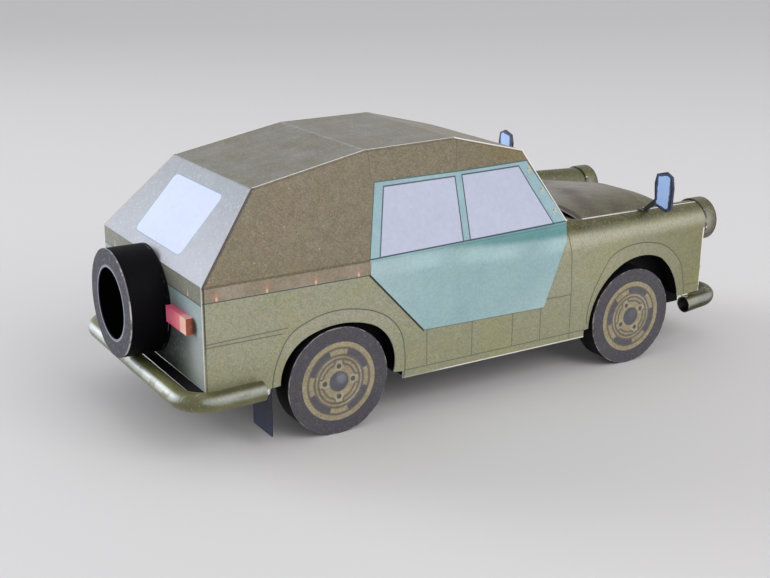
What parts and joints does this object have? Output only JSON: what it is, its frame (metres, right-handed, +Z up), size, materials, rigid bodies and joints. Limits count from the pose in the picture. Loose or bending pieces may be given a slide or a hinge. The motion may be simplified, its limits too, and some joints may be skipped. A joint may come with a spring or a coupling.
{
  "type": "printed card model of a small soft-top army car",
  "caption": "Small folded card model of a soft-top army car with two doors, a rear spare wheel and wheels that turn.",
  "frame": {"origin": "on the ground under the middle of the whole model", "axes": "+X forward, +Y the car's left, +Z up"},
  "size_m": [0.1506, 0.067, 0.0582],
  "materials": {
    "olive_card": "satin",
    "canopy_card": "matte",
    "black_card": "matte",
    "wheel_print": "matte",
    "door_card": "satin",
    "lens_print": "satin",
    "lamp_print": "satin",
    "mirror_print": "satin",
    "flap_card": "matte",
    "axle_wood": "matte"
  },
  "bodies": {
    "body": {"bumper_front": "olive_card", "bumper_rear": "olive_card", "canopy_top": "canopy_card", "cowl": "olive_card", "door_skin_left": "door_card", "door_skin_right": "door_card", "floor_pan": "black_card", "front_panel": "olive_card", "headlamp_lens_left": "lens_print", "headlamp_lens_right": "lens_print", "headlamp_ring_left": "olive_card", "headlamp_ring_right": "olive_card", "hood": "olive_card", "mirror_left": "mirror_print", "mirror_right": "mirror_print", "mud_flap_left": "flap_card", "mud_flap_right": "flap_card", "rear_panel": "olive_card", "side_left": "olive_card", "side_right": "olive_card", "spare_back": "black_card", "spare_face": "wheel_print", "spare_tread": "black_card", "tail_lamp_left": "lamp_print", "tail_lamp_right": "lamp_print", "wheel_well_front_left": "black_card", "wheel_well_front_right": "black_card", "wheel_well_rear_left": "black_card", "wheel_well_rear_right": "black_card", "windscreen": "canopy_card", "wing_inner_left": "olive_card", "wing_inner_right": "olive_card"},
    "front_axle": {"axle_front": "axle_wood", "wheel_back_front_left": "black_card", "wheel_back_front_right": "black_card", "wheel_face_front_left": "wheel_print", "wheel_face_front_right": "wheel_print", "wheel_tread_front_left": "black_card", "wheel_tread_front_right": "black_card"},
    "rear_axle": {"axle_rear": "axle_wood", "wheel_back_rear_left": "black_card", "wheel_back_rear_right": "black_card", "wheel_face_rear_left": "wheel_print", "wheel_face_rear_right": "wheel_print", "wheel_tread_rear_left": "black_card", "wheel_tread_rear_right": "black_card"}
  },
  "joints": [
    {"name": "front_axle_spin", "type": "hinge", "parent": "body", "child": "front_axle", "pos_m": [0.04365, 0, 0.01175], "axis": [0, 1, 0], "continuous": true},
    {"name": "rear_axle_spin", "type": "hinge", "parent": "body", "child": "rear_axle", "pos_m": [-0.03715, 0, 0.01175], "axis": [0, 1, 0], "continuous": true}
  ]
}
